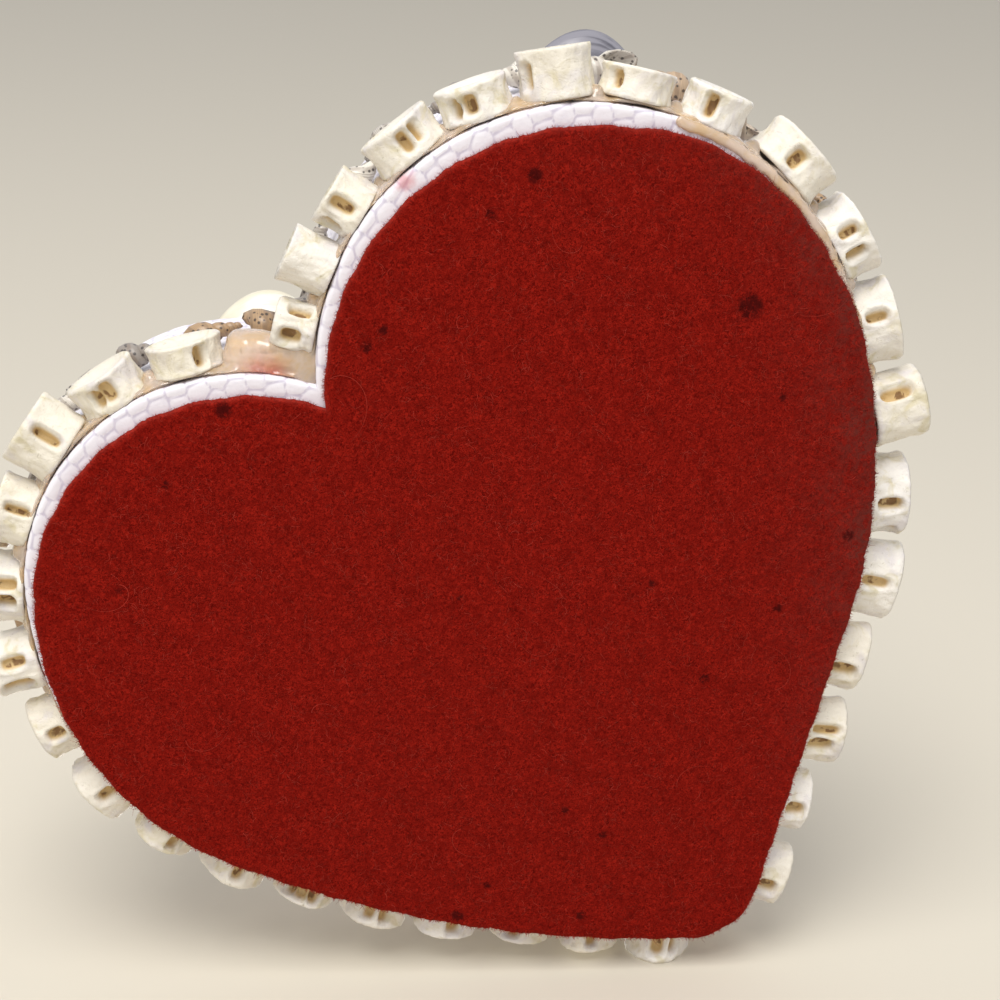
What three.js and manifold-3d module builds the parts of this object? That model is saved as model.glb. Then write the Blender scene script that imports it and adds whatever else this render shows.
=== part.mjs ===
// Heart-shaped trinket box dressed with shells, lying on its felt underside.
// A cardboard tray covered in paper carries a ring of fish vertebrae and a row of small shells;
// a lift-off lid with a locating lip carries two flowers made of clam valves and a few larger shells.
// Millimetres and degrees, +Z up, tip of the heart toward -Y, origin at the middle of the underside.

import * as THREE from 'three';
import { mergeVertices } from 'three/addons/utils/BufferGeometryUtils.js';
import Module from 'manifold-3d';

const wasm = await Module();
wasm.setup();

// Outline of the cardboard: each lobe is walked from the notch over its top and down its flank.
// The box is made by hand, so its two lobes differ.
const notchHeading = 56;
const leftLobe = {
  side: -1,
  bends: [{ radius: 34.9, angle: 93.2 }, { radius: 37.7, angle: 64.9 }, { radius: 72.8, angle: 38.3 }],
};
const rightLobe = {
  side: 1,
  bends: [{ radius: 29.2, angle: 108.3 }, { radius: 45.1, angle: 64.9 }, { radius: 154.7, angle: 23.5 }],
};
const tipRadius = 10.4;
const facetAngle = 10;

// Felt under the tray, cut a little small and stuck off centre
const feltThickness = 1.2;
const feltInset = 0.55;
const feltShiftX = 0.8;
const feltShiftY = -2.1;
const glueFilm = 0.1;

// Cardboard tray and lid
const boardThickness = 2.2;
const trayHeight = 22.7;
const lidHeight = 6.7;
const lipThickness = 1.5;
const lipDepth = 5;
const lipClearance = 0.5;

// Ring of vertebrae: spools that stand out of the wall on end, in runs that share a pitch and a size
const spoolFoot = 1.35;
const spoolStandoff = 0.7;
const diameterSpread = 0.05;
const lengthSpread = 0.3;
const spoolWaist = 0.86;
const spoolCup = 1.1;
const spoolSides = 8;
const leftRing = {
  seed: 7638,
  runs: [
    { count: 1, pitch: 6.6, diameter: 7, length: 4.5 },
    { count: 2, pitch: 8.2, diameter: 7.7, length: 4.7 },
    { count: 5, pitch: 10, diameter: 9.4, length: 4.3 },
    { count: 6, pitch: 12.05, diameter: 10.3, length: 5.4 },
    { count: 4, pitch: 12.05, diameter: 8.8, length: 5 },
  ],
};
const rightRing = {
  seed: 2255,
  runs: [
    { count: 1, pitch: 16.6, diameter: 9.6, length: 3.8 },
    { count: 6, pitch: 10.1, diameter: 9.5, length: 4.6 },
    { count: 9, pitch: 10.6, diameter: 8.9, length: 4.4 },
  ],
};

// Clear glue behind the vertebrae, with a pool of it in the notch
const glueClearance = 0.12;
const beadThickness = 0.45;
const spoolClearance = 0.3;
const beadBottom = 2.2;
const beadHeight = 6.4;
const poolRightReach = 11;
const poolLeftReach = 3.9;
const poolDepth = 3.6;
const poolTaper = 0.35;
const poolSteps = 3;

// Chains of small shells laid end to end: one on the wall above the vertebrae, one along the lid's edge
const chainSides = 6;
const chainRings = 3;
const wallChain = {
  start: 8.5,
  pitch: 11.3,
  overlap: 2.6,
  depth: 4.2,
  height: 6.4,
  standoff: 2.4,
  middle: 14.6,
};
const lidChain = {
  start: 1.2,
  pitch: 13.4,
  overlap: 1.2,
  depth: 5.5,
  height: 4.8,
  standoff: -4.3,
  middle: 0,
};

// Outline and arch of a clam valve: the half angle of its fan, the roundness of its edge
// and where it is fullest
const fanAngle = 78;
const fanPull = 0.82;
const fanRoundness = 0.45;
const widestShare = 0.86;
const archLean = 0.62;
const archFullness = 0.8;
const archEdge = 2.6;
const valveRows = 4;

// Flowers on the lid: clam valves with their hollow side up around a snail
const petalCount = 5;
const petalThickness = 1.3;
const petalDepth = 5.5;
const petalTilt = 16;
const petalColumns = 8;
const leftFlower = {
  umbo: 9.5,
  length: 22,
  width: 22,
  firstLength: 31,
  firstWidth: 28,
  firstAngle: 137,
};
const rightFlower = {
  umbo: 8.5,
  length: 15.8,
  width: 17.5,
  firstLength: 23,
  firstWidth: 24,
  firstAngle: 136,
};
const snailRadius = 6.4;
const snailHeight = 13;
const snailWhorls = 3;
const snailSides = 12;
const snailFoot = 0.82;
const snailTaper = 0.95;
const snailBulge = 0.4;

// Larger shells near the tip
const cockleLength = 29;
const cockleWidth = 32;
const cockleHeight = 10;
const cockleThickness = 1.6;
const cockleRibs = 11;
const cockleRibDepth = 0.7;
const cockleFromTip = 62;
const cowrieLength = 17;
const cowrieWidth = 11.5;
const cowrieHeight = 9;
const cowrieFlat = 0.55;
const cowrieFromTip = 25;
const cowrieSpread = 9.2;
const cowrieTurn = 35;
const cowrieSides = 12;
const shellGap = 0.25;

const radians = THREE.MathUtils.degToRad;

// Follows a bend that turns clockwise; a straight stretch has an endless radius
function travel(pen, radius, distance) {
  const turn = distance / radius;
  const chord = turn === 0 ? distance : 2 * radius * Math.sin(turn / 2);
  const aim = pen.heading - turn / 2;
  return {
    x: pen.x + chord * Math.cos(aim),
    y: pen.y + chord * Math.sin(aim),
    heading: pen.heading - turn,
  };
}

function atNotch(side, notch) {
  return { x: side * notch.x, y: notch.y, heading: radians(notchHeading) };
}

// Each flank runs straight from its last bend to the rounded tip, where the two meet
function heartFlanks(lobes, notch) {
  const [left, right] = lobes.map((lobe) => {
    let pen = atNotch(lobe.side, notch);
    for (const bend of lobe.bends) {
      pen = travel(pen, bend.radius, bend.radius * radians(bend.angle));
    }
    return {
      point: new THREE.Vector2(lobe.side * pen.x, pen.y),
      along: new THREE.Vector2(lobe.side * Math.cos(pen.heading), Math.sin(pen.heading)),
    };
  });
  const between = right.point.clone().sub(left.point);
  const crossing = left.along.cross(right.along);
  const reach = [between.cross(right.along) / crossing, between.cross(left.along) / crossing];
  const tipTurn = Math.PI - left.along.angleTo(right.along);
  const cutBack = tipRadius * Math.tan(tipTurn / 2);
  return lobes.map((lobe, i) => ({
    side: lobe.side,
    notch,
    stretches: [
      ...lobe.bends.map((bend) => ({ radius: bend.radius, length: bend.radius * radians(bend.angle) })),
      { radius: Infinity, length: reach[i] - cutBack },
      { radius: tipRadius, length: tipRadius * tipTurn / 2 },
    ],
  }));
}

function flankLength(flank) {
  return flank.stretches.reduce((sum, stretch) => sum + stretch.length, 0);
}

// Point and outward direction of the wall at a distance from the notch, moved out by a standoff
function wallPlace(flank, distance, standoff = 0) {
  let pen = atNotch(flank.side, flank.notch);
  let rest = distance;
  for (const stretch of flank.stretches) {
    const step = Math.min(rest, stretch.length);
    pen = travel(pen, stretch.radius, step);
    rest -= step;
  }
  const outward = new THREE.Vector2(-flank.side * Math.sin(pen.heading), Math.cos(pen.heading));
  const point = new THREE.Vector2(flank.side * pen.x, pen.y).addScaledVector(outward, standoff);
  return { point, outward };
}

// Corners of the outline along one flank, from the notch to the middle of the tip
function flankPoints(flank) {
  const points = [];
  let start = 0;
  for (const stretch of flank.stretches) {
    const facets = Math.max(1, Math.ceil(stretch.length / stretch.radius / radians(facetAngle)));
    for (let i = 0; i < facets; i++) {
      points.push(wallPlace(flank, start + stretch.length * i / facets).point);
    }
    start += stretch.length;
  }
  points.push(wallPlace(flank, start).point);
  return points;
}

// Counter-clockwise outline: from the notch down the left flank and back up the right one
function heartOutline([leftFlank, rightFlank]) {
  return [...flankPoints(leftFlank), ...flankPoints(rightFlank).slice(1, -1).reverse()];
}

// Moves an outline outward, or inward where the distance is negative
function offsetOutline(points, distance) {
  return points.map((point, i) => {
    const before = points[(i + points.length - 1) % points.length];
    const after = points[(i + 1) % points.length];
    const first = point.clone().sub(before).normalize();
    const second = after.clone().sub(point).normalize();
    const spread = new THREE.Vector2(first.y + second.y, -first.x - second.x);
    return spread.multiplyScalar(distance / (1 + first.dot(second))).add(point);
  });
}

function prism(outline, bottom, height) {
  const shape = new THREE.Shape(outline);
  return new THREE.ExtrudeGeometry(shape, { depth: height, bevelEnabled: false }).translate(0, 0, bottom);
}

function solid(geometry) {
  const bare = geometry.clone();
  bare.deleteAttribute('normal');
  bare.deleteAttribute('uv');
  const merged = mergeVertices(bare, 1e-4);
  return new wasm.Manifold(new wasm.Mesh({
    numProp: 3,
    vertProperties: merged.attributes.position.array,
    triVerts: Uint32Array.from(merged.index.array),
  }));
}

function surface(manifold) {
  const mesh = manifold.getMesh();
  const geometry = new THREE.BufferGeometry();
  geometry.setAttribute('position', new THREE.BufferAttribute(mesh.vertProperties, 3));
  geometry.setIndex(new THREE.BufferAttribute(mesh.triVerts, 1));
  return geometry;
}

// Upright wall between two outlines
function wallRing(outer, inner, bottom, height) {
  const spare = 1;
  const hole = prism(inner, bottom - spare, height + 2 * spare);
  return solid(prism(outer, bottom, height)).subtract(solid(hole));
}

function finish(color, roughness) {
  return new THREE.MeshStandardMaterial({ color, roughness, metalness: 0 });
}

const feltRed = finish(0x8c1a12, 1);
const paperWhite = finish(0xe4e2ea, 0.6);
const boneCream = finish(0xe8dfc8, 0.7);
const amberGlue = finish(0xd9a878, 0.2);
const speckledGrey = finish(0x8b8580, 0.5);
const clamCream = finish(0xf0e8d4, 0.4);
const clamLilac = finish(0x9a95a6, 0.4);
const snailBrown = finish(0xb08a62, 0.35);
const cowrieBrown = finish(0xa07850, 0.25);

const shellBox = new THREE.Group();
shellBox.name = 'shell_box';

function add(name, geometry, material) {
  const mesh = new THREE.Mesh(geometry, material);
  mesh.name = name;
  shellBox.add(mesh);
  return mesh;
}

// The middle of the outline's extent is the origin
const roughHeart = heartOutline(heartFlanks([leftLobe, rightLobe], new THREE.Vector2()));
const notch = new THREE.Box2().setFromPoints(roughHeart).getCenter(new THREE.Vector2()).negate();
const [leftFlank, rightFlank] = heartFlanks([leftLobe, rightLobe], notch);
const heart = heartOutline([leftFlank, rightFlank]);

// Felt, tray and lid, from the table up
const trayBottom = feltThickness + glueFilm;
const trayTop = trayBottom + trayHeight;
const lidBottom = trayTop + glueFilm;
const lidTop = lidBottom + lidHeight;

function feltPad() {
  const shift = new THREE.Vector2(feltShiftX, feltShiftY);
  const outline = offsetOutline(heart, -feltInset).map((point) => point.add(shift));
  return prism(outline, 0, feltThickness);
}

function tray() {
  const inside = prism(offsetOutline(heart, -boardThickness), trayBottom + boardThickness, trayHeight);
  return surface(solid(prism(heart, trayBottom, trayHeight)).subtract(solid(inside)));
}

// The rim stands on the tray's wall, and the lip inside it reaches down into the tray
function lidRim() {
  const rimTop = lidTop - boardThickness - glueFilm;
  const lipBottom = lidBottom - lipDepth;
  const lipOuter = offsetOutline(heart, -boardThickness - lipClearance);
  const lipInner = offsetOutline(heart, -boardThickness - lipClearance - lipThickness);
  const lip = solid(prism(lipOuter, lipBottom, (rimTop + lidBottom) / 2 - lipBottom));
  const inside = prism(lipInner, lipBottom - glueFilm, rimTop - lipBottom + 2 * glueFilm);
  return surface(solid(prism(heart, lidBottom, rimTop - lidBottom)).add(lip).subtract(solid(inside)));
}

add('felt_pad', feltPad(), feltRed);
add('tray', tray(), paperWhite);
add('lid_rim', lidRim(), paperWhite);
add('lid', prism(heart, lidTop - boardThickness, boardThickness), paperWhite);

// Repeatable scatter between -1 and 1
function scatter(seed, index) {
  const wave = Math.sin(seed * 78.233 + index * 12.9898) * 43758.5453;
  return 2 * (wave - Math.floor(wave)) - 1;
}

// Size and place of every vertebra along one flank; their lowest points are level, just clear of the felt
function ringSpools(flank, ring) {
  const spools = [];
  let distance = 0;
  for (const run of ring.runs) {
    for (let i = 0; i < run.count; i++) {
      distance += run.pitch;
      const number = spools.length;
      const diameter = run.diameter * (1 + diameterSpread * scatter(ring.seed, number));
      const length = run.length * (1 + lengthSpread * scatter(ring.seed + 1, number));
      const { point, outward } = wallPlace(flank, distance, spoolStandoff + length / 2);
      const place = new THREE.Matrix4().makeRotationZ(Math.atan2(-outward.x, outward.y));
      place.setPosition(point.x, point.y, spoolFoot + diameter / 2);
      spools.push({ diameter, length, place });
    }
  }
  return spools;
}

const leftSpools = ringSpools(leftFlank, leftRing);
const rightSpools = ringSpools(rightFlank, rightRing);

// Glue bead around the wall, joined to the pool in the notch and cut clear of the first vertebra
function hotGlue() {
  const beadOuter = offsetOutline(heart, glueClearance + beadThickness);
  const beadInner = offsetOutline(heart, glueClearance);
  const bead = wallRing(beadOuter, beadInner, beadBottom, beadHeight);
  const pool = [
    wallPlace(leftFlank, poolLeftReach, glueClearance).point,
    wallPlace(leftFlank, poolLeftReach, -boardThickness).point,
    wallPlace(rightFlank, poolRightReach, -boardThickness).point,
  ];
  for (let step = poolSteps; step > 0; step--) {
    const share = step / poolSteps;
    const depth = poolDepth * (1 - poolTaper * share ** 2);
    pool.push(wallPlace(rightFlank, poolRightReach * share, depth).point);
  }
  const [first] = leftSpools;
  const radius = first.diameter / 2 + spoolClearance;
  const around = new THREE.CylinderGeometry(radius, radius, first.length + 2 * spoolClearance, spoolSides);
  const poolSolid = wallRing(pool, beadInner, beadBottom, beadHeight);
  return surface(bead.add(poolSolid).subtract(solid(around.applyMatrix4(first.place))));
}

add('hot_glue', hotGlue(), amberGlue);

// Vertebra with a waist and a cupped face at each end, its axis along Y
function spool(diameter, length) {
  const radius = diameter / 2;
  const half = length / 2;
  return new THREE.LatheGeometry([
    new THREE.Vector2(0, spoolCup - half),
    new THREE.Vector2(radius, -half),
    new THREE.Vector2(radius * spoolWaist, -half / 3),
    new THREE.Vector2(radius * spoolWaist, half / 3),
    new THREE.Vector2(radius, half),
    new THREE.Vector2(0, half - spoolCup),
  ], spoolSides);
}

function addRing(side, spools) {
  spools.forEach(({ diameter, length, place }, i) => {
    const number = String(i + 1).padStart(2, '0');
    add(`vertebra_${side}_${number}`, spool(diameter, length).applyMatrix4(place), boneCream);
  });
}

addRing('left', leftSpools);
addRing('right', rightSpools);

// Small shells are low mounds, and each one touches the next
function shellChain(chain) {
  const mounds = [];
  for (const flank of [leftFlank, rightFlank]) {
    for (let s = chain.start; s < flankLength(flank); s += chain.pitch) {
      const { point, outward } = wallPlace(flank, s, chain.standoff);
      const mound = new THREE.SphereGeometry(0.5, chainSides, chainRings);
      mound.scale(chain.depth, chain.pitch + chain.overlap, chain.height);
      mound.rotateZ(Math.atan2(outward.y, outward.x));
      mound.translate(point.x, point.y, chain.middle);
      mounds.push(solid(mound));
    }
  }
  return surface(mounds.reduce((row, mound) => row.add(mound)));
}

add('small_shell_row', shellChain(wallChain), speckledGrey);

// Closed skin over a fan of points that spreads from the umbo: rows grow outward, columns turn across
function fanSolid(rows, columns, upper, lower) {
  const positions = [];
  const index = [];
  for (const face of [upper, lower]) {
    positions.push(...face(0, 0));
    for (let row = 1; row <= rows; row++) {
      for (let column = 0; column <= columns; column++) {
        positions.push(...face(row / rows, 2 * column / columns - 1));
      }
    }
  }
  const size = 1 + rows * (columns + 1);
  const above = (row, column) => (row === 0 ? 0 : 1 + (row - 1) * (columns + 1) + column);
  const below = (row, column) => size + above(row, column);
  const quad = (a, b, c, d) => index.push(a, b, c, a, c, d);
  for (let left = 0; left < columns; left++) {
    const right = left + 1;
    index.push(above(0, 0), above(1, left), above(1, right));
    index.push(below(0, 0), below(1, right), below(1, left));
    for (let row = 1; row < rows; row++) {
      quad(above(row, left), above(row + 1, left), above(row + 1, right), above(row, right));
      quad(below(row, left), below(row, right), below(row + 1, right), below(row + 1, left));
    }
    quad(above(rows, left), below(rows, left), below(rows, right), above(rows, right));
  }
  for (let row = 0; row < rows; row++) {
    quad(above(row, 0), below(row, 0), below(row + 1, 0), above(row + 1, 0));
    quad(above(row + 1, columns), below(row + 1, columns), below(row, columns), above(row, columns));
  }
  const geometry = new THREE.BufferGeometry();
  geometry.setAttribute('position', new THREE.Float32BufferAttribute(positions, 3));
  geometry.setIndex(index);
  return geometry;
}

// Clam valve that grows from its umbo along +X; growth and turn give a point of its curved skin
function valvePoint(valve, growth, turn) {
  const angle = turn * radians(fanAngle);
  const reach = valve.length * growth * Math.cos(angle * fanPull) ** fanRoundness;
  const widest = widestShare * valve.length;
  const arch = Math.sin(Math.PI * growth ** archLean) ** archFullness * (1 - Math.abs(turn) ** archEdge);
  const rib = valve.ribDepth * growth * Math.cos(Math.PI * valve.ribs * turn);
  return [
    reach * Math.cos(angle),
    reach * Math.sin(angle) * valve.width / 2 / widest,
    valve.height * arch + rib,
  ];
}

// A dome rests on its rim; a cup is the same valve turned over
function valveGeometry(valve, columns) {
  const facing = valve.cup ? -1 : 1;
  const skin = (offset) => (growth, turn) => {
    const [x, y, z] = valvePoint(valve, growth, turn);
    return [x, y, facing * (z - offset)];
  };
  const skins = [skin(0), skin(valve.thickness)];
  return fanSolid(valveRows, columns, ...(valve.cup ? skins.reverse() : skins));
}

// Sets a mesh down on the lid
function restOnLid(mesh) {
  mesh.updateMatrixWorld(true);
  const lowest = new THREE.Box3().setFromObject(mesh, true).min.z;
  mesh.position.z += lidTop + shellGap - lowest;
}

// Snail with a flat base and rounded whorls, its axis along Z
function snail() {
  const profile = [new THREE.Vector2(0, 0), new THREE.Vector2(snailRadius * snailFoot, 0)];
  for (let whorl = 0; whorl < snailWhorls; whorl++) {
    const low = whorl / snailWhorls;
    const high = (whorl + 1) / snailWhorls;
    const bulge = low + snailBulge / snailWhorls;
    profile.push(new THREE.Vector2(snailRadius * (1 - low * snailTaper), snailHeight * bulge));
    if (whorl < snailWhorls - 1) {
      profile.push(new THREE.Vector2(snailRadius * (1 - high), snailHeight * high));
    }
  }
  profile.push(new THREE.Vector2(0, snailHeight));
  return new THREE.LatheGeometry(profile, snailSides).rotateX(Math.PI / 2);
}

// Petals stand around the middle of the lobe, where its first bend is centred
function addFlower(side, flank, lobe, flower) {
  const { point: centre } = wallPlace(flank, 0, -lobe.bends[0].radius);
  for (let i = 0; i < petalCount; i++) {
    const valve = {
      length: i === 0 ? flower.firstLength : flower.length,
      width: i === 0 ? flower.firstWidth : flower.width,
      height: petalDepth,
      thickness: petalThickness,
      ribs: 0,
      ribDepth: 0,
      cup: true,
    };
    const lilac = (i % 2 === 0) === (side === 'left');
    const geometry = valveGeometry(valve, petalColumns);
    geometry.rotateY(-radians(petalTilt)).translate(flower.umbo, 0, 0);
    geometry.rotateZ(radians(flower.firstAngle + 360 * i / petalCount));
    const mesh = add(`petal_${side}_${i + 1}`, geometry, lilac ? clamLilac : clamCream);
    mesh.position.set(centre.x, centre.y, 0);
    restOnLid(mesh);
  }
  const middle = add(`snail_${side}`, snail(), snailBrown);
  middle.position.set(centre.x, centre.y, 0);
  restOnLid(middle);
}

addFlower('left', leftFlank, leftLobe, leftFlower);
addFlower('right', rightFlank, rightLobe, rightFlower);

// Ribbed cockle with its umbo toward the notch, and a cowrie on each side of the tip
const tip = wallPlace(leftFlank, flankLength(leftFlank)).point;

function addCockle() {
  const valve = {
    length: cockleLength,
    width: cockleWidth,
    height: cockleHeight,
    thickness: cockleThickness,
    ribs: cockleRibs,
    ribDepth: cockleRibDepth,
    cup: false,
  };
  const mesh = add('cockle', valveGeometry(valve, 2 * cockleRibs).rotateZ(-Math.PI / 2), clamCream);
  mesh.position.set(tip.x, tip.y + cockleFromTip, 0);
  restOnLid(mesh);
}

// Cowrie: an egg with its long axis along Y, flattened underneath
function cowrie() {
  const geometry = new THREE.SphereGeometry(0.5, cowrieSides, cowrieSides / 2);
  const places = geometry.attributes.position;
  for (let i = 0; i < places.count; i++) {
    places.setZ(i, Math.max(places.getZ(i), -cowrieFlat / 2));
  }
  return geometry.scale(cowrieWidth, cowrieLength, cowrieHeight);
}

function addCowrie(name, side) {
  const mesh = add(name, cowrie(), cowrieBrown);
  mesh.position.set(tip.x + side * cowrieSpread, tip.y + cowrieFromTip, 0);
  mesh.rotation.z = side * radians(cowrieTurn);
  restOnLid(mesh);
}

restOnLid(add('lid_shell_border', shellChain(lidChain), speckledGrey));
addCockle();
addCowrie('cowrie_left', -1);
addCowrie('cowrie_right', 1);

export default shellBox;
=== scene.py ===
import math

import bmesh
import bpy
import numpy as np
from mathutils import Matrix, Vector, geometry


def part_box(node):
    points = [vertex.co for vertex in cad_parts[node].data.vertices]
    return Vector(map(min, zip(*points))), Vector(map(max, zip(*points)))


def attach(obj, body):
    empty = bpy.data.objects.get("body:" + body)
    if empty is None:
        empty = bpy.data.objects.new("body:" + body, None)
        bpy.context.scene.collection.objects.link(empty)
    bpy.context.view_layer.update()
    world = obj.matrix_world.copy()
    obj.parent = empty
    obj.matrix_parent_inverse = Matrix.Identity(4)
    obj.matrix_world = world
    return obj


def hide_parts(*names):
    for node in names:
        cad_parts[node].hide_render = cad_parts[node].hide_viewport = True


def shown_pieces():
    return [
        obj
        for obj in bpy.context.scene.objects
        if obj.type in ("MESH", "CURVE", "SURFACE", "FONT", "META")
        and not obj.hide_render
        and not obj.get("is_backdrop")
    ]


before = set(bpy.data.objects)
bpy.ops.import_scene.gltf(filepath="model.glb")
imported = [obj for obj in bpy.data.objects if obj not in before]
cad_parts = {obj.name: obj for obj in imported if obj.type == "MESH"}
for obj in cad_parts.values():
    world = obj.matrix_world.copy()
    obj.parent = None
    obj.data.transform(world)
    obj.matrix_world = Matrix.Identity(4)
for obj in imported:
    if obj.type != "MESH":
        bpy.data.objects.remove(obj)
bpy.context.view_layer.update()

# The tray is cardboard, cut and glued by hand into a heart, so its two lobes differ. White paper
# embossed with rounded reptile cells is pasted over it and turned under the lower edge, and that
# margin shows as a pale band where the felt doesn't reach.
NOTCH_HEADING = math.radians(56)
LEFT_BENDS = ((34.9, 93.2), (37.7, 64.9), (72.8, 38.3))
RIGHT_BENDS = ((29.2, 108.3), (45.1, 64.9), (154.7, 23.5))
TIP_RADIUS = 10.4
STRAIGHT = 1e7
WALL_STEP = 0.4
TRAY_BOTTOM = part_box("tray")[0][2] * 1000
TRAY_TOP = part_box("tray")[1][2] * 1000
BOARD = 2.2
PAPER_MARGIN = 7.2
CELL_WIDTH = 2.7
CELL_DEPTH = 0.12
FULL_DEPTH_FROM = 0.3
CREASE_SHADE_FADES_BY = 0.5
HAND_WAVE = 0.1


def bend_on(x, y, heading, radius, distance):
    turn = distance / radius
    chord = 2 * radius * np.sin(turn / 2)
    return x + chord * np.cos(heading - turn / 2), y + chord * np.sin(heading - turn / 2), heading - turn


def flank_stretches():
    ends = []
    for side, bends in ((-1, LEFT_BENDS), (1, RIGHT_BENDS)):
        x, y, heading = 0.0, 0.0, NOTCH_HEADING
        for radius, angle in bends:
            x, y, heading = bend_on(x, y, heading, radius, radius * math.radians(angle))
        ends.append((np.array((side * x, y)), np.array((side * math.cos(heading), math.sin(heading)))))
    (left, left_aim), (right, right_aim) = ends
    between = right - left
    cross = lambda a, b: a[0] * b[1] - a[1] * b[0]
    reach = [cross(between, aim) / cross(left_aim, right_aim) for aim in (right_aim, left_aim)]
    tip_turn = math.pi - math.acos(left_aim @ right_aim)
    cut_back = TIP_RADIUS * math.tan(tip_turn / 2)
    return [
        [(radius, radius * math.radians(angle)) for radius, angle in bends]
        + [(STRAIGHT, length - cut_back), (TIP_RADIUS, TIP_RADIUS * tip_turn / 2)]
        for bends, length in ((LEFT_BENDS, reach[0]), (RIGHT_BENDS, reach[1]))
    ]


def walk_flank(side, stretches):
    rows, run, pen = [], 0.0, (0.0, 0.0, NOTCH_HEADING)
    for radius, length in stretches:
        distance = np.linspace(0, length, max(2, math.ceil(length / WALL_STEP)), endpoint=False)
        x, y, heading = bend_on(*pen, radius, distance)
        rows.append(np.stack([side * x, y, -side * np.sin(heading), np.cos(heading), run + distance], 1))
        pen = bend_on(*pen, radius, length)
        run += length
    x, y, heading = pen
    rows.append(np.array([[side * x, y, -side * math.sin(heading), math.cos(heading), run]]))
    return np.vstack(rows)


left_stretches, right_stretches = flank_stretches()
left_flank = walk_flank(-1, left_stretches)
right_flank = walk_flank(1, right_stretches)
heart_wall = np.vstack([left_flank, right_flank[-2:0:-1]])
heart_wall[len(left_flank):, 4] = left_flank[-1, 4] + right_flank[-1, 4] - heart_wall[len(left_flank):, 4]
notch = -(heart_wall[:, :2].min(0) + heart_wall[:, :2].max(0)) / 2
for stretch_of_wall in (left_flank, right_flank, heart_wall):
    stretch_of_wall[:, :2] += notch
heart_wall[0, 2:4] = (0, 1 / math.cos(NOTCH_HEADING))
on_left = np.arange(len(heart_wall)) < len(left_flank)


def wall_at(flank, distance, standoff=0.0):
    """Place on the wall at a distance from the notch, moved outward, and the outward direction."""
    x, y, out_x, out_y = (np.interp(distance, flank[:, 4], flank[:, i]) for i in range(4))
    size = np.hypot(out_x, out_y)
    out = np.stack([out_x / size, out_y / size], -1)
    return np.stack([x, y], -1) + out * np.asarray(standoff)[..., None], out


def heart_ring(standoff, every=1):
    """The heart moved outward, or inward where the standoff is negative, without crossing at the notch."""
    moved = heart_wall[:, :2] + heart_wall[:, 2:4] * np.broadcast_to(standoff, len(heart_wall))[:, None]
    across = np.where(on_left, moved[:, 0] - notch[0], notch[0] - moved[:, 0])
    crossed = (across > 0) & (moved[:, 1] > 0)
    moved[crossed] = notch + heart_wall[0, 2:4] * np.max(standoff)
    return moved[::every]


def scatter(seed, index):
    """Repeatable numbers between 0 and 1."""
    wave = np.sin(seed * 78.233 + np.asarray(index) * 12.9898) * 43758.5453
    return wave - np.floor(wave)


def reptile_cells(across, along):
    """How far each place is from the nearest crease between cells, as a share of a cell."""
    along = along / CELL_WIDTH
    across = across / CELL_WIDTH + 0.5 * (np.floor(along) % 2)
    nearest, second = np.full(across.shape, 9.0), np.full(across.shape, 9.0)
    for row in (-1, 0, 1):
        for column in (-2, -1, 0, 1, 2):
            cell_along = np.floor(along) + row
            shift = 0.5 * (cell_along % 2) - 0.5 * (np.floor(along) % 2)
            cell_across = np.floor(across) + column
            jitter = scatter(cell_along * 3.1, cell_across - 0.5 * (cell_along % 2)) - 0.5
            off_across = across - cell_across - 0.5 + shift - 0.5 * jitter
            far = np.hypot(off_across, along - cell_along - 0.5 - 0.4 * jitter)
            second = np.minimum(second, np.maximum(nearest, far))
            nearest = np.minimum(nearest, far)
    return second - nearest


def pressed_in(cells):
    return np.clip(cells / FULL_DEPTH_FROM, 0, 1) ** 0.6 - 1


# Painted shade: how strongly the paper is painted darker near a crease between cells, most in the crease
# itself.
def crease_mark(cells):
    return np.clip(1 - cells / CREASE_SHADE_FADES_BY, 0, 1)


def made_piece(name, points, faces, weld=0.0, **marks):
    """A piece from points in millimetres. Each mark is one number for each point, for its finish to read."""
    mesh = bpy.data.meshes.new(name)
    mesh.from_pydata((np.asarray(points) * 0.001).tolist(), [], [list(map(int, face)) for face in faces])
    for mark, values in marks.items():
        layer = mesh.attributes.new(mark, "FLOAT", "POINT")
        layer.data.foreach_set("value", np.asarray(values, np.float32).ravel())
    shape = bmesh.new()
    shape.from_mesh(mesh)
    if weld:
        bmesh.ops.remove_doubles(shape, verts=shape.verts, dist=weld * 0.001)
    bmesh.ops.recalc_face_normals(shape, faces=shape.faces)
    shape.to_mesh(mesh)
    shape.free()
    mesh.shade_smooth()
    piece = bpy.data.objects.new(name, mesh)
    bpy.context.scene.collection.objects.link(piece)
    return piece


def sweep(rings, closed=True):
    """Points and faces of rings of equal length joined in order, each ring closed on itself."""
    points = np.vstack(rings)
    count, length = len(rings), len(rings[0])
    row, column = np.meshgrid(np.arange(count - 1), np.arange(length), indexing="ij")
    here = row * length + column
    side = row * length + (column + 1) % length
    faces = np.stack([here, side, side + length, here + length], -1).reshape(-1, 4).tolist()
    if closed:
        faces.append(list(range(length)))
        faces.append(list(range((count - 1) * length, count * length)))
    return points, faces


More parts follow.
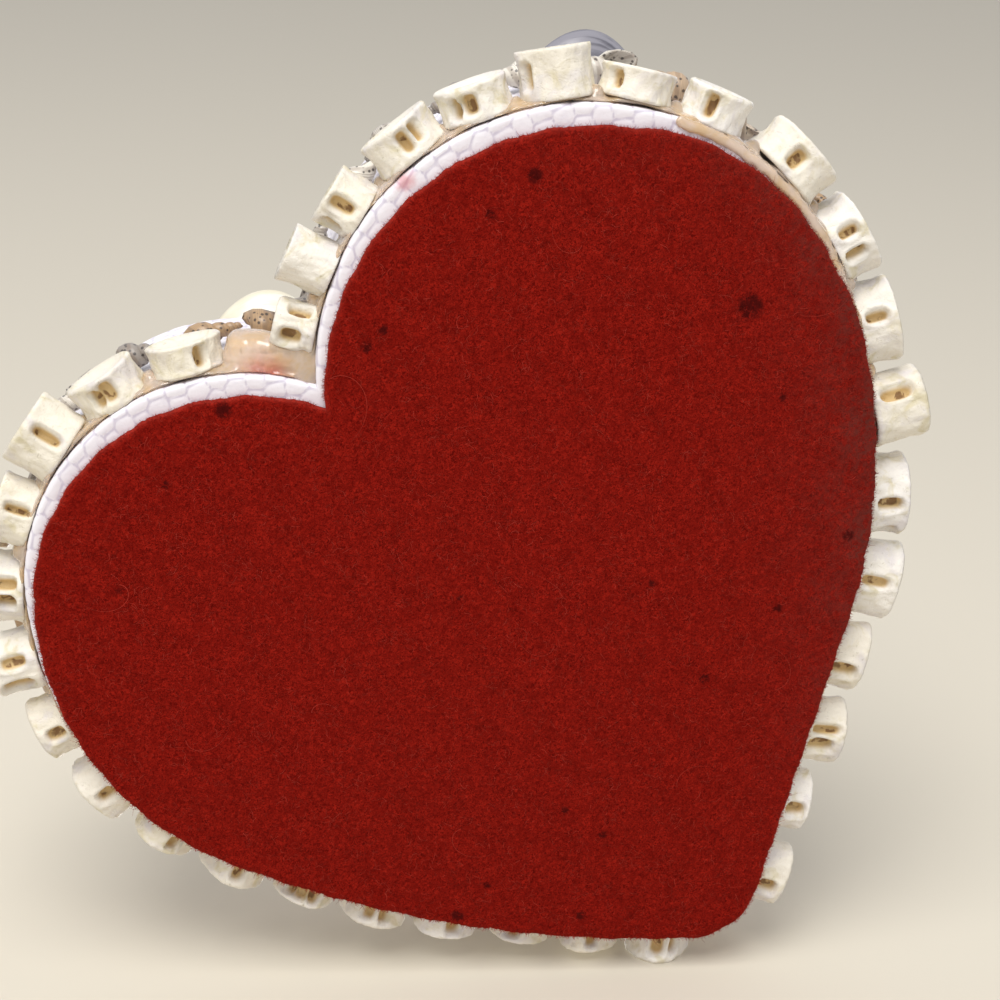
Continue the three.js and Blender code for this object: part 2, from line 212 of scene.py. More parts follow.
def profile_sweep(profile, embossed, every=1):
    """Walks a profile of (standoff, height) round the heart and presses the cells into its embossed part."""
    profile = np.array(profile, float)
    slope = np.gradient(profile, axis=0)
    slope /= np.linalg.norm(slope, axis=1)[:, None] + 1e-9
    length = np.concatenate([[0], np.cumsum(np.hypot(*np.diff(profile, axis=0).T))])
    run = heart_wall[::every, 4]
    rings, creases = [], []
    for (standoff, height), (along_out, along_up), far, pressed in zip(profile, slope, length, embossed):
        cells = reptile_cells(np.full(run.shape, far), run)
        press = pressed * CELL_DEPTH * pressed_in(cells)
        wave = pressed * HAND_WAVE * np.sin(run * 0.31 + height * 0.2) * np.sin(run * 0.083)
        shift = np.zeros(len(heart_wall))
        shift[::every] = (press + wave) * along_up
        plan = heart_ring(standoff + shift, every)
        rings.append(np.column_stack([plan, height - press * along_out]))
        # The painted crease shade, only on the embossed part.
        creases.append(pressed * crease_mark(cells))
    points, faces = sweep(rings)
    return points, faces, np.concatenate(creases)


def rounded(centre, radius, start, end, steps=4):
    angles = np.radians(np.linspace(start, end, steps + 1))
    return [(centre[0] + radius * math.cos(a), centre[1] + radius * math.sin(a)) for a in angles]


margin_rows = (-PAPER_MARGIN, -5.8, *np.arange(-4.6, -0.75, 0.34))
tray_profile = [(standoff, TRAY_BOTTOM) for standoff in margin_rows]
tray_profile += rounded((-0.6, TRAY_BOTTOM + 0.6), 0.6, -90, 0)
tray_profile += [(0, height) for height in np.arange(TRAY_BOTTOM + 1, TRAY_TOP - 0.7, 0.6)]
embossed_rows = len(tray_profile)
tray_profile += rounded((-0.4, TRAY_TOP - 0.4), 0.4, 0, 90, 2)
tray_profile += rounded((0.4 - BOARD, TRAY_TOP - 0.4), 0.4, 90, 180, 2)
tray_profile += [(-BOARD, height) for height in np.linspace(TRAY_TOP - 1, TRAY_BOTTOM + BOARD, 6)]
tray_embossed = [1.0] * embossed_rows + [0.0] * (len(tray_profile) - embossed_rows)
points, faces, creases = profile_sweep(tray_profile, tray_embossed)
tray = made_piece("paper_tray", points, faces, weld=0.01, crease=creases)


def add_node(tree, kind, feeds=None, **values):
    """A shader node with its settings and values, and its sockets fed as named."""
    made = tree.nodes.new(kind)
    for key, value in values.items():
        if hasattr(made, key):
            setattr(made, key, value)
        else:
            made.inputs[key.replace("_", " ")].default_value = value
    for socket, source in (feeds or {}).items():
        tree.links.new(source, made.inputs[socket])
    return made


def new_finish(name, color, roughness, **values):
    material = bpy.data.materials.new(name)
    material.use_nodes = True
    shader = material.node_tree.nodes["Principled BSDF"]
    shader.inputs["Base Color"].default_value = (*color, 1)
    shader.inputs["Roughness"].default_value = roughness
    for key, value in values.items():
        shader.inputs[key.replace("_", " ")].default_value = value
    return material, material.node_tree, shader


def linear(red, green, blue):
    """A colour as a screen shows it, 0 to 255, in the renderer's own scale."""
    shares = (red / 255, green / 255, blue / 255)
    return tuple(((c + 0.055) / 1.055) ** 2.4 if c > 0.04 else c / 12.92 for c in shares)


def blend_colors(tree, amount, first, second):
    """The first colour, turning into the second as the amount goes from 0 to 1."""
    mix = add_node(tree, "ShaderNodeMix", data_type="RGBA")
    for socket, value in ((mix.inputs[0], amount), (mix.inputs[6], first), (mix.inputs[7], second)):
        if isinstance(value, bpy.types.NodeSocket):
            tree.links.new(value, socket)
        else:
            socket.default_value = (*value, 1) if isinstance(value, tuple) else value
    return mix.outputs[2]


def spread_values(tree, value, low, high, to_low=0.0, to_high=1.0):
    made = add_node(
        tree, "ShaderNodeMapRange", {"Value": value},
        From_Min=low, From_Max=high, To_Min=to_low, To_Max=to_high)
    made.interpolation_type = "SMOOTHSTEP"
    return made.outputs[0]


def calculate(tree, operation, *values):
    made = add_node(tree, "ShaderNodeMath", operation=operation)
    for socket, value in zip(made.inputs, values):
        if isinstance(value, bpy.types.NodeSocket):
            tree.links.new(value, socket)
        else:
            socket.default_value = value
    return made.outputs[0]


def mark(tree, name):
    return add_node(tree, "ShaderNodeAttribute", attribute_name=name).outputs["Fac"]


def object_place(tree):
    return add_node(tree, "ShaderNodeTexCoord").outputs["Object"]


def noise(tree, place, scale, detail=3.0, distortion=0.0, roughness=0.55):
    made = add_node(
        tree, "ShaderNodeTexNoise", {"Vector": place},
        Scale=scale, Detail=detail, Distortion=distortion, Roughness=roughness)
    return made.outputs["Fac"]


def ragged_spot(tree, place, centre, grain, raggedness, inner, outer, amount):
    """How strongly a round spot shows. It fades between two radii, in metres, with a ragged edge."""
    far = add_node(tree, "ShaderNodeVectorMath", {0: place}, operation="DISTANCE")
    far.inputs[1].default_value = centre
    edge = calculate(tree, "MULTIPLY_ADD", noise(tree, place, grain, 3), raggedness, far.outputs["Value"])
    return spread_values(tree, edge, inner, outer, amount, 0)


def raise_bump(tree, shader, height, strength, distance, under=None):
    bump = add_node(tree, "ShaderNodeBump", {"Height": height}, Strength=strength, Distance=distance)
    if under is not None:
        tree.links.new(under, bump.inputs["Normal"])
    if shader is not None:
        tree.links.new(bump.outputs[0], shader.inputs["Normal"])
    return bump.outputs[0]


embossed_paper, tree, shader = new_finish(
    "embossed_paper", linear(234, 231, 237), 0.42, Specular_IOR_Level=0.4)
place = object_place(tree)
soil = spread_values(tree, noise(tree, place, 90, 4), 0.45, 0.75)
flecks = spread_values(tree, noise(tree, place, 700, 3), 0.5, 0.75, 0, 0.35)
# Painted shade: the paper is painted lilac-grey along the creases between the embossed cells, where shade
# falls.
creases = spread_values(tree, mark(tree, "crease"), 0.6, 0.95, 0.0, 0.8)
paper_color = blend_colors(tree, soil, linear(236, 233, 239), linear(226, 220, 228))
paper_color = blend_colors(tree, flecks, paper_color, linear(214, 209, 222))
paper_color = blend_colors(tree, creases, paper_color, linear(196, 189, 206))
smudge = ragged_spot(tree, place, (-0.0211, 0.0576, TRAY_BOTTOM * 0.001), 900, 0.0022, 0.0012, 0.0034, 0.55)
paper_color = blend_colors(tree, smudge, paper_color, linear(196, 84, 88))
tree.links.new(paper_color, shader.inputs["Base Color"])
raise_bump(tree, shader, noise(tree, place, 2600, 4), 0.35, 0.00012)
tray.data.materials.append(embossed_paper)
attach(tray, "root")
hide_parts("tray")

# The lid is a shallow board cap under the same paper, with an inner lip that keeps it in place.
# Its top board and its rim are one piece here. It has no hinge and lifts off.
LID_BOTTOM = TRAY_TOP + 0.1
LID_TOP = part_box("lid")[1][2] * 1000
LIP_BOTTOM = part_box("lid_rim")[0][2] * 1000
LIP_PLAY = 0.5
LIP_BOARD = 1.5
LIP_OUTER = -BOARD - LIP_PLAY
LIP_INNER = LIP_OUTER - LIP_BOARD
LID_EDGE = 1.0
LID_GRID = 0.8


def fill_outline(outline, spacing):
    """Triangles that fill a plan outline, with a grid of points inside it."""
    low, high = outline.min(0), outline.max(0)
    x, y = np.meshgrid(np.arange(low[0], high[0], spacing), np.arange(low[1], high[1], spacing))
    x = x + spacing * 0.5 * (np.arange(len(x)) % 2)[:, None]
    grid = np.column_stack([x.ravel(), y.ravel()])
    grid = grid[edge_distance(grid, outline) > spacing * 0.6]
    plan = [Vector(place) for place in np.vstack([outline, grid]).tolist()]
    border = [(i, (i + 1) % len(outline)) for i in range(len(outline))]
    made = geometry.delaunay_2d_cdt(plan, border, [], 1, 1e-6)
    return np.array([tuple(place) for place in made[0]]), [list(face) for face in made[2]]


def edge_distance(places, outline):
    """Distance from the outline, positive inside it and negative outside."""
    near = np.full(len(places), 1e9)
    inside = np.zeros(len(places), bool)
    after = np.roll(outline, -1, axis=0)
    for (ax, ay), (bx, by) in zip(outline, after):
        span_x, span_y = bx - ax, by - ay
        length = span_x**2 + span_y**2
        if length == 0:
            continue
        off_x, off_y = places[:, 0] - ax, places[:, 1] - ay
        share = np.clip((off_x * span_x + off_y * span_y) / length, 0, 1)
        near = np.minimum(near, np.hypot(off_x - share * span_x, off_y - share * span_y))
        if ay != by:
            beyond = (ay > places[:, 1]) != (by > places[:, 1])
            inside ^= beyond & (places[:, 0] < ax + off_y * span_x / span_y)
    return np.where(inside, near, -near)


lid_ceiling = LID_TOP - BOARD
lid_profile = [(LIP_INNER, height) for height in np.linspace(lid_ceiling, LIP_BOTTOM, 5)]
lid_profile += [(LIP_OUTER, height) for height in np.linspace(LIP_BOTTOM, lid_ceiling, 5)]
lid_profile += [(-BOARD, height) for height in np.linspace(lid_ceiling, LID_BOTTOM, 3)]
plain_rows = len(lid_profile)
lid_profile += rounded((-0.4, LID_BOTTOM + 0.4), 0.4, -90, 0, 3)
lid_profile += [(0, height) for height in np.arange(LID_BOTTOM + 0.9, LID_TOP - LID_EDGE, 0.5)]
lid_profile += rounded((-LID_EDGE, LID_TOP - LID_EDGE), LID_EDGE, 0, 90, 4)
lid_embossed = [0.0] * plain_rows + [1.0] * (len(lid_profile) - plain_rows - 2) + [0.5, 0.0]
side_points, side_faces, side_creases = profile_sweep(lid_profile, lid_embossed, every=2)
side_faces.pop()
rim_outline = heart_ring(-LID_EDGE, 2)
top_plan, top_faces = fill_outline(rim_outline, LID_GRID)
top_cells = reptile_cells(top_plan[:, 0] + 200, top_plan[:, 1] + 200)
top_fade = np.clip(edge_distance(top_plan, rim_outline) / 1.2, 0, 1)
top_points = np.column_stack([top_plan, LID_TOP + top_fade * CELL_DEPTH * pressed_in(top_cells)])
lid = made_piece(
    "paper_lid",
    np.vstack([side_points, top_points]),
    side_faces + [[i + len(side_points) for i in face] for face in top_faces],
    weld=0.02,
    crease=np.concatenate([side_creases, top_fade * crease_mark(top_cells)]))
lid.data.materials.append(embossed_paper)
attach(lid, "root")
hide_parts("lid", "lid_rim")

# The pad on the underside is red craft felt, cut with scissors a little small and stuck off centre.
# Its edge is fuzzy, loose fibres lie over it, and handling has greyed one side and left a few stains.
FELT_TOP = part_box("felt_pad")[1][2] * 1000
FELT_INSET = 0.55
FELT_SHIFT = np.array((0.8, -2.1))
FELT_FACE = 0.16
FELT_GRID = 0.6
NAP_FIBRES = 25000
EDGE_FIBRES = 6000
STRAY_HAIRS = 9
FIBRE_WIDTH = 0.055
HAIR_WIDTH = 0.05
SEEN_HAIRS = np.array((  # x, y, heading, length, curl and tone
    (2.0, 43.0, -2.2, 9.0, 1.9, 1.7), (41.2, 37.4, -1.2, 5.5, 2.6, 1.9)))
STRAY_LIMITS = ((0, 6.28), (3, 8), (-2.4, 2.4), (1.1, 1.5))  # heading, length, curl and tone
WORN_MIDDLE = 196  # degrees round the heart
WORN_SPAN = 42
WORN_DEPTH = 5.5
STAIN_SPREAD = 1.3
STAINS = np.array((  # x, y and radius
    (-34.8, 48.5, 0.85), (-27.3, 47.8, 0.6), (-47.5, 17.2, 1.45), (-7.5, 44.0, 0.6), (-4.4, 43.5, 0.65),
    (15.3, 48.0, 0.95), (27.6, 44.6, 0.5), (41.6, 36.7, 0.45), (-27.0, -21.4, 0.5), (-40.7, -18.3, 0.7),
    (-15.2, -7.2, 0.45), (-12.9, -23.8, 0.65), (14.4, -28.4, 0.5), (12.5, -35.2, 0.5), (30.1, -31.3, 0.5),
    (36.4, -32.6, 0.8), (22.6, -44.1, 0.6), (6.7, 7.6, 0.35), (-44.2, 4.0, 0.5)))
felt_random = np.random.default_rng(11)
felt_standoff = heart_wall[:, 2:4] @ FELT_SHIFT - FELT_INSET
# Along the outside of one lobe the felt is cut fuller, up to these standoffs from the wall.
FULLER_FROM = (62, 68, 80, 95, 103)
FULLER_TO = (-2.6, -1.8, -1.3, -0.95, -0.05)
full_cut = np.interp(heart_wall[:, 4], FULLER_FROM, FULLER_TO)
full_cut = on_left * (heart_wall[:, 4] > FULLER_FROM[0]) * np.clip(full_cut - felt_standoff, 0, None)
felt_outline = heart_ring(full_cut - FELT_INSET) + FELT_SHIFT
felt_outline = np.vstack([felt_outline[:1], felt_outline[2:-1]])
felt_edge = np.roll(felt_outline, -1, axis=0) - np.roll(felt_outline, 1, axis=0)
felt_edge /= np.linalg.norm(felt_edge, axis=1)[:, None]
felt_out = np.column_stack([felt_edge[:, 1], -felt_edge[:, 0]])
ragged = felt_random.normal(0, 0.05, len(felt_outline))
ragged += 0.1 * np.sin(heart_wall[: len(felt_outline), 4] * 0.9)
cut_outline = felt_outline + felt_out * ragged[:, None]
face_plan, face_faces = fill_outline(cut_outline - felt_out * 0.25, FELT_GRID)
face_depth = FELT_FACE + 0.05 * np.sin(face_plan[:, 0] * 0.8 + 1.3 * np.sin(face_plan[:, 1] * 0.37))
felt_points = [np.column_stack([face_plan, face_depth])]
edge_heights = (FELT_FACE + 0.25, 0.75 * FELT_TOP, FELT_TOP)
for height in edge_heights:
    felt_points.append(np.column_stack([cut_outline, np.full(len(cut_outline), height)]))
felt_faces = list(face_faces)
ring_length = len(cut_outline)
for ring in range(len(edge_heights)):
    upper = len(face_plan) + ring * ring_length
    lower = 0 if ring == 0 else upper - ring_length
    for i in range(ring_length):
        step = (i + 1) % ring_length
        felt_faces.append([lower + i, lower + step, upper + step, upper + i])
felt_faces.append([len(face_plan) + 2 * ring_length + i for i in range(ring_length)])


def worn(places, depth):
    """How much handling has greyed the felt, which is most along the edge of one lobe."""
    around = np.degrees(np.arctan2(places[:, 1] - 5, places[:, 0])) % 360
    patchy = 1.0 + 0.4 * np.sin(around * 0.35) * np.sin(places[:, 0] * 0.5 + places[:, 1] * 0.3)
    along_lobe = np.exp(-(((around - WORN_MIDDLE) / WORN_SPAN) ** 2))
    return patchy * along_lobe * np.exp(-np.clip(depth, 0, None) / WORN_DEPTH)


def stained(places):
    far = np.hypot(places[:, 0, None] - STAINS[:, 0], places[:, 1, None] - STAINS[:, 1])
    return np.exp(-((far / STAINS[:, 2] / STAIN_SPREAD) ** 3)).max(1)


base_points = np.vstack(felt_points)
from_edge = edge_distance(base_points[:, :2], cut_outline)
felt_pad = made_piece(
    "felt_base",
    base_points,
    felt_faces,
    # Painted highlight: the tone rises toward the cut edge and up its sides, so the fuzzy edge is painted
    # paler.
    tone=0.5 + 0.5 * np.exp(-np.clip(from_edge, 0, None) / 0.4),
    worn=worn(base_points, from_edge),
    stain=stained(base_points))


def ribbons(paths, width, tone):
    """Thin flat ribbons along paths of equal length, each with one tone, narrowing to the end."""
    count, stations = paths.shape[:2]
    aim = np.gradient(paths[..., :2], axis=1)
    aim /= np.linalg.norm(aim, axis=2, keepdims=True) + 1e-9
    aside = np.stack([-aim[..., 1], aim[..., 0], np.zeros((count, stations))], -1)
    aside *= width / 2 * (1 - 0.7 * np.linspace(0, 1, stations) ** 2)[None, :, None]
    points = np.stack([paths - aside, paths + aside], 2).reshape(-1, 3)
    first = 2 * (np.arange(count)[:, None, None] * stations + np.arange(stations - 1)[None, :, None])
    return points, (first + np.array((0, 1, 3, 2))).reshape(-1, 4).tolist(), np.repeat(tone, stations * 2)


def curls(roots, aim, length, droop, curl, stations=3):
    """Paths that leave their roots along a heading, bend by the curl and dip by the droop."""
    share = np.linspace(0, 1, stations)
    turned = aim[:, None] + curl[:, None] * (share - 0.5)
    reach = length[:, None] * share
    return roots[:, None, :] + np.stack([
        reach * np.cos(turned), reach * np.sin(turned), droop[:, None] * share * (1.6 - share)], -1)


low, high = cut_outline.min(0), cut_outline.max(0)
roots = felt_random.uniform(low, high, (NAP_FIBRES * 3 // 2, 2))
roots = roots[edge_distance(roots, felt_outline) > 0.3][:NAP_FIBRES]
count = len(roots)
nap = curls(
    np.column_stack([roots, np.full(count, FELT_FACE + 0.02)]),
    felt_random.uniform(0, 2 * math.pi, count),
    felt_random.uniform(0.5, 1.7, count),
    -felt_random.uniform(0.05, 0.16, count),
    felt_random.uniform(-1.8, 1.8, count))
nap_tone = 1.6 * felt_random.beta(2, 2.6, count)
pick = felt_random.integers(0, ring_length, EDGE_FIBRES)
slid = felt_edge[pick] * felt_random.uniform(-0.3, 0.3, EDGE_FIBRES)[:, None]
fringe_height = felt_random.uniform(FELT_FACE, FELT_TOP * 0.8, EDGE_FIBRES)
fringe = curls(
    np.column_stack([cut_outline[pick] - felt_out[pick] * 0.15 + slid, fringe_height]),
    np.arctan2(felt_out[pick, 1], felt_out[pick, 0]) + felt_random.normal(0, 0.6, EDGE_FIBRES),
    felt_random.uniform(0.25, 0.65, EDGE_FIBRES),
    -felt_random.uniform(0.0, 0.12, EDGE_FIBRES),
    felt_random.uniform(-1.2, 1.2, EDGE_FIBRES))
# Painted highlight: fringe fibres get a paler tone than the nap, on top of their random spread.
fringe_tone_with_highlight = felt_random.uniform(0.7, 1.5, EDGE_FIBRES)
stray_hairs = [roots[felt_random.integers(0, count, STRAY_HAIRS)]]
for least, most in STRAY_LIMITS:
    stray_hairs.append(felt_random.uniform(least, most, STRAY_HAIRS))
hairs = np.vstack([SEEN_HAIRS, np.column_stack(stray_hairs)])
hair_paths = curls(
    np.column_stack([hairs[:, :2], np.full(len(hairs), 0.06)]),
    hairs[:, 2], hairs[:, 3], np.zeros(len(hairs)), hairs[:, 4], stations=14)


def joined(parts):
    """Points, faces and marks of several parts in one."""
    points, faces, tones, start = [], [], [], 0
    for part_points, part_faces, part_tones in parts:
        points.append(part_points)
        faces += [[i + start for i in face] for face in part_faces]
        tones.append(part_tones)
        start += len(part_points)
    return np.vstack(points), faces, np.concatenate(tones)


nap_points, nap_faces, nap_tones = joined((
    ribbons(nap, FIBRE_WIDTH, nap_tone),
    ribbons(fringe, FIBRE_WIDTH, fringe_tone_with_highlight),
    ribbons(hair_paths, HAIR_WIDTH, hairs[:, 5])))
felt_nap = made_piece(
    "felt_nap",
    nap_points,
    nap_faces,
    tone=nap_tones,
    worn=worn(nap_points, edge_distance(nap_points[:, :2], cut_outline)),
    stain=stained(nap_points))
red_felt, tree, shader = new_finish(
    "red_felt", linear(118, 17, 9), 1.0, Specular_IOR_Level=0.03, Sheen_Weight=0.05, Sheen_Roughness=0.5)
shader.inputs["Sheen Tint"].default_value = (*linear(255, 120, 105), 1)
place = object_place(tree)
fine = noise(tree, place, 2900, 4, 1.4, 0.75)
felt_color = blend_colors(tree, spread_values(tree, fine, 0.38, 0.62), linear(86, 5, 3), linear(152, 29, 18))
tufts = spread_values(tree, noise(tree, place, 650, 4, 0.8, 0.65), 0.35, 0.65, 0.55, 0)
felt_color = blend_colors(tree, tufts, felt_color, linear(104, 11, 6))
lint = spread_values(tree, noise(tree, place, 4300, 2, 2.5), 0.58, 0.76, 0, 0.5)
felt_color = blend_colors(tree, lint, felt_color, linear(162, 50, 38))
# The tone mark spreads fibres at random darker and paler, and also carries the painted highlight on the cut
# edge and its fringe.
tone = mark(tree, "tone")
dark_fibres = spread_values(tree, tone, 0.0, 0.42, 0.6, 0)
pale_fibres_and_edge_highlight = spread_values(tree, tone, 0.55, 1.7, 0, 0.85)
felt_color = blend_colors(tree, dark_fibres, felt_color, linear(84, 7, 4))
felt_color = blend_colors(tree, pale_fibres_and_edge_highlight, felt_color, linear(186, 68, 56))
dust = spread_values(tree, noise(tree, place, 900, 5, 1.0, 0.75), 0.38, 0.62, 0.25, 1.0)
dust = calculate(tree, "MULTIPLY", mark(tree, "worn"), dust)
felt_color = blend_colors(tree, dust, felt_color, linear(98, 44, 38))
ragged_stain = spread_values(tree, noise(tree, place, 1300, 4, 1.0), 0.3, 0.6, 0.45, 1.3)
ragged_stain = calculate(tree, "MULTIPLY", mark(tree, "stain"), ragged_stain)
felt_color = blend_colors(
    tree, spread_values(tree, ragged_stain, 0.2, 0.95, 0, 0.8), felt_color, linear(50, 9, 9))
tree.links.new(felt_color, shader.inputs["Base Color"])
nap_bump = raise_bump(tree, None, noise(tree, place, 800, 6, 0.8, 0.75), 0.6, 0.0003)
raise_bump(tree, shader, fine, 0.6, 0.00015, nap_bump)
for piece in (felt_pad, felt_nap):
    piece.data.materials.append(red_felt)
    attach(piece, "root")
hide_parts("felt_pad")

# The ring round the foot is made of dried fish vertebrae, each glued with one cupped end to the
# wall. They flare to a rounded rim at both ends, and open into deep oblong pits along the side.
ROUND_STEPS = 90
SIDE_ROWS = 25
CUP_ROWS = 6
WAIST = 0.92
CUP_DEPTH = 1.4
RIM = 0.5
PIT_CORNERS = 3.2
PIT_LIP = 0.16
GROWN_IN = 0.75  # how much longer than its solid, into the glue and outward
GROWN_OUT = 0.35
GROWN_ROUND = 1.03  # how much wider, and how far it may widen to meet its neighbours
WIDEST = 1.22
DROOP = math.radians(4.5)
LEFT_PITS = (  # places across the face that shows from below, as shares of the radius
    (-0.2, 0.75), (1.3,), (0.0, -0.78), (0.1, 0.55), (-0.72, -0.27), (-0.9,), (-0.75,), (-0.4,), (-0.2,),
    (-0.35, 0.3), (-0.35,), (-0.6,), (0.1, 0.85), (-0.1,), (0.3,), (-0.3, 0.3), (0.0,), (0.2,))
RIGHT_PITS = (
    (-0.5,), (-0.1, 0.35), (-0.35,), (-0.4,), (-0.4, 0.2), (-0.3, 0.5), (0.0,), (0.1,), (0.3,), (0.1,),
    (-0.6, -0.2, 0.3), (-0.3, 0.3), (0.2,), (-0.3,), (0.0,), (-0.2, 0.4))


def vertebra(diameter, length, seed, pits_below):
    """A vertebra with its axis along X and the face that shows from below toward -Z, in millimetres."""
    radius, half = diameter / 2, length / 2
    angle = np.linspace(0, 2 * math.pi, ROUND_STEPS, endpoint=False)
    luck = scatter(seed, np.arange(40))
    share = np.linspace(-1, 1, SIDE_ROWS)
    share = np.sign(share) * np.abs(share) ** 0.8
    flare = WAIST + (1 - WAIST) * np.abs(share) ** (2.0 + 1.5 * luck[0])
    flare -= (0.03 + 0.09 * luck[22]) * np.clip((np.abs(share) - 0.8) / 0.2, 0, 1) ** 2
    around = 1 + 0.05 * np.cos(2 * angle + 6 * luck[1]) + 0.035 * np.cos(3 * angle + 6 * luck[2])
    around += 0.018 * np.cos(4 * angle + 6 * luck[3])
    around /= around.max()
    side = radius * flare[:, None] * around[None, :]
    side += 0.09 * np.sin(5 * angle[None, :] + 3 * share[:, None] + 9 * luck[4]) * (1 - share[:, None] ** 2)
    side += 0.05 * np.sin(11 * angle[None, :] - 4 * share[:, None] + 9 * luck[5])
    side += 0.04 * np.sin(23 * angle[None, :] + 9 * luck[6] + 2 * np.sin(3 * share[:, None]))
    pits, lift = np.zeros_like(side), np.zeros_like(side)
    turn = math.pi / 2 + 0.6 * (luck[7] - 0.5)
    centres = [-math.pi / 2 + math.asin(place) for place in pits_below if abs(place) < 1]
    centres += [turn - 0.42, turn + 0.42]
    for number, centre in enumerate(centres):
        half_width = (0.95 + 0.5 * luck[8 + number]) / radius
        half_length = 0.56 + 0.18 * luck[14 + number]
        off_round = np.angle(np.exp(1j * (angle - centre)))[None, :] / half_width
        off_along = (share[:, None] - 0.24 * (luck[26 + number] - 0.5)) / half_length
        reach = (np.abs(off_round) ** PIT_CORNERS + np.abs(off_along) ** PIT_CORNERS) ** (1 / PIT_CORNERS)
        pits = np.maximum(pits, 1 - np.clip((reach - 0.66) / 0.34, 0, 1) ** 1.4)
        lift = np.maximum(lift, np.exp(-(((reach - 1.18) / 0.2) ** 2)))
    deep = 1.3 + 0.6 * luck[20]
    side += PIT_LIP * lift - deep * pits * np.clip((1 - share[:, None] ** 4) * 2, 0, 1)
    cup_share = 1 - np.arange(1, CUP_ROWS + 1) / (CUP_ROWS + 0.4)
    cup_axis = half - 0.15 - CUP_DEPTH * (1 - cup_share) ** 0.8
    lip = flare[-1] - RIM / radius
    cups = [[], []]
    for cup, end in zip(cups, (-1, 1)):
        for row in range(CUP_ROWS):
            spread = radius * lip * cup_share[row] / cup_share[0] * around
            cup.append(np.column_stack([
                np.full(ROUND_STEPS, end * cup_axis[row]), spread * np.cos(angle), spread * np.sin(angle)]))
    rings = cups[0][::-1]
    for row in range(SIDE_ROWS):
        rings.append(np.column_stack([
            np.full(ROUND_STEPS, half * share[row]), side[row] * np.cos(angle), side[row] * np.sin(angle)]))
    points, faces = sweep(rings + cups[1])
    cup_stain = np.repeat(0.3 * (1 - cup_share), ROUND_STEPS)
    stain = np.concatenate([cup_stain[::-1], pits.ravel(), cup_stain])
    return points, faces, stain, np.full(len(points), luck[21])


bone, tree, shader = new_finish("fish_bone", linear(232, 228, 220), 0.5, Specular_IOR_Level=0.4)
place = object_place(tree)
bone_color = blend_colors(tree, mark(tree, "tone"), linear(236, 232, 226), linear(230, 222, 204))
lilac_patch = spread_values(tree, noise(tree, place, 260, 4, 0.5), 0.46, 0.7, 0, 0.65)
bone_color = blend_colors(tree, lilac_patch, bone_color, linear(212, 206, 208))
ochre_place = add_node(tree, "ShaderNodeVectorMath", {0: place}, operation="ADD")
ochre_place.inputs[1].default_value = (0.31, 0.17, 0.05)
ochre_patch = spread_values(tree, noise(tree, ochre_place.outputs[0], 330, 5, 0.8), 0.5, 0.72, 0, 0.75)
bone_color = blend_colors(tree, ochre_patch, bone_color, linear(208, 197, 160))
scum = spread_values(tree, noise(tree, place, 1500, 4, 0.8, 0.65), 0.6, 0.76, 0, 0.5)
bone_color = blend_colors(tree, scum, bone_color, linear(150, 140, 112))
stain = mark(tree, "stain")
pit_stain = spread_values(tree, stain, 0.25, 0.85, 0, 0.9)
bone_color = blend_colors(tree, pit_stain, bone_color, linear(208, 176, 116))
# Painted shade: the floors of the deepest pits are painted dark brown where shade falls. The ochre above is
# the bone's own stain in its hollows.
pit_floor_shade = spread_values(tree, noise(tree, place, 520, 3, 0.5), 0.38, 0.62, 0.55, 1.1)
pit_floor_shade = calculate(tree, "MULTIPLY", stain, pit_floor_shade)
bone_color = blend_colors(
    tree, spread_values(tree, pit_floor_shade, 0.8, 1.05, 0, 0.85), bone_color, linear(120, 82, 44))
tree.links.new(bone_color, shader.inputs["Base Color"])
grain = raise_bump(tree, None, noise(tree, place, 600, 6, 1.2, 0.65), 0.55, 0.0004)
pores = add_node(tree, "ShaderNodeTexVoronoi", {"Vector": place}, Scale=2100.0)
raise_bump(tree, shader, spread_values(tree, pores.outputs["Distance"], 0.05, 0.35), 0.25, 0.00012, grain)

vertebra_nodes = sorted(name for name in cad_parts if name.startswith("vertebra"))
vertebra_boxes = np.array([[tuple(corner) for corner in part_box(name)] for name in vertebra_nodes]) * 1000
vertebra_middles = vertebra_boxes.mean(1)
vertebra_sizes = np.ptp(vertebra_boxes, axis=1)
vertebra_runs = []
for number, node_name in enumerate(vertebra_nodes):
    on_the_left = "_left_" in node_name
    pits_below = (LEFT_PITS if on_the_left else RIGHT_PITS)[int(node_name[-2:]) - 1]
    middle, size = vertebra_middles[number].copy(), vertebra_sizes[number]
    apart = np.hypot(*(vertebra_middles - middle)[:, :2].T)
    room = np.delete(apart / (vertebra_sizes[:, 2] + size[2]) * 2, number).min()
    nearest = np.argmin(np.hypot(*(heart_wall[1:, :2] - middle[:2]).T)) + 1
    out = heart_wall[nearest, 2:4]
    length = (size[0] + size[1]) / np.abs(out).sum() - size[2]
    vertebra_runs.append(heart_wall[nearest, 4])
    points, faces, stain, tone = vertebra(
        size[2] * GROWN_ROUND, length + GROWN_IN + GROWN_OUT, number * 1.7 + 3,
        [place if on_the_left else -place for place in pits_below])
    points[:, 1] *= np.clip(room * 0.99 / GROWN_ROUND, 1.0, WIDEST)
    middle[:2] += out / np.linalg.norm(out) * (GROWN_OUT - GROWN_IN) / 2
    lean = np.radians(9 * (scatter(number, (1, 2)) - 0.5)) - (0, DROOP)
    turn = Matrix.Rotation(math.atan2(out[1], out[0]) + lean[0], 3, "Z") @ Matrix.Rotation(lean[1], 3, "Y")
    points = points @ np.array(turn).T + middle
    piece = made_piece(f"bone_{node_name}", points, faces, stain=stain, tone=tone)
    piece.data.materials.append(bone)
    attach(piece, "root")
    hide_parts(node_name)

# Hot-melt glue holds the vertebrae to the wall. It shows as an amber bead behind them, in drops
# between them, as a thin smear on the paper of one lobe, and as a pool in the notch, which the
# felt has stained red.
GLUE_LOW = 1.9
GLUE_HIGH = 8.8
GLUE_VOXEL = 0.34
POOL_STEP = 0.85
SMEARED = (68.5, 112)  # distances along the wall


